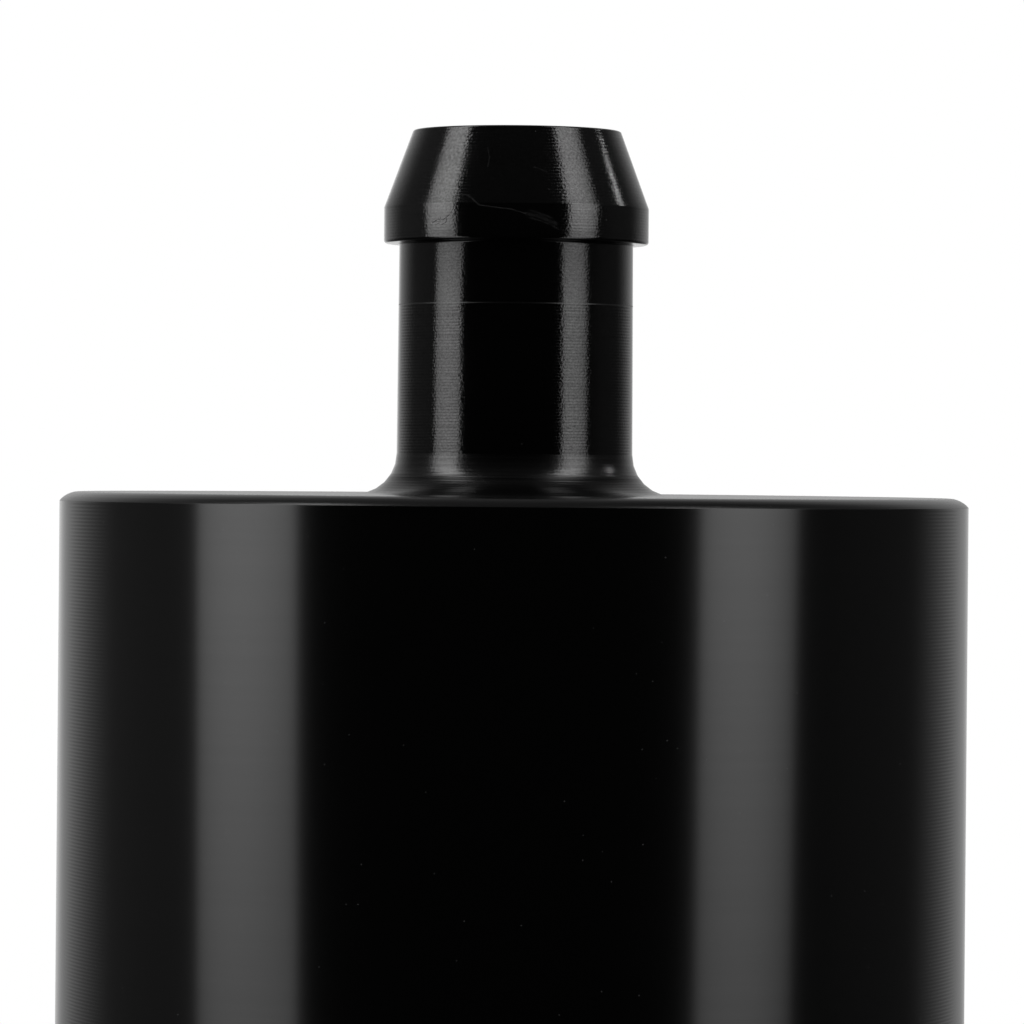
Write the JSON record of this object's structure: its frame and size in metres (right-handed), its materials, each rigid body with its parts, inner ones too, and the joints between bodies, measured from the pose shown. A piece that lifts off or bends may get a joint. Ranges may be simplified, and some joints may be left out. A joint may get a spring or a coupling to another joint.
{
  "type": "brake fluid reservoir",
  "caption": "Small turned aluminium brake fluid reservoir: a round cup with a hose barb turned on its end, closed by a fluted screw cap over a rubber bellows diaphragm.",
  "frame": {"origin": "centre of the cap's outer face, which the part stands on", "axes": "+Z along the turning axis, from the cap towards the tip of the hose barb"},
  "size_m": [0.042, 0.042, 0.0776],
  "materials": {
    "black_anodised": "fine turned and black anodised, satin gloss",
    "acetal": "turned natural acetal, satin",
    "black_rubber": "moulded rubber, matt"
  },
  "bodies": {
    "cap": {"cap": "black_anodised"},
    "slip_ring": {"slip_ring": "acetal"},
    "reservoir": {"reservoir_body": "black_anodised", "diaphragm": "black_rubber", "cap_seal": "black_rubber"}
  },
  "joints": [
    {"name": "cap_turn", "type": "hinge", "parent": "cap", "child": "slip_ring", "pos_m": [0, 0, 0.0036], "axis": [0, 0, 1], "range_deg": [0, 1320]},
    {"name": "cap_lift", "type": "slide", "parent": "slip_ring", "child": "reservoir", "axis": [0, 0, 1], "range_m": [0, 0.0055]}
  ],
  "couplings": [
    {"joint": "cap_lift", "follows": "cap_turn", "m_per_rad": 0.00023873}
  ]
}
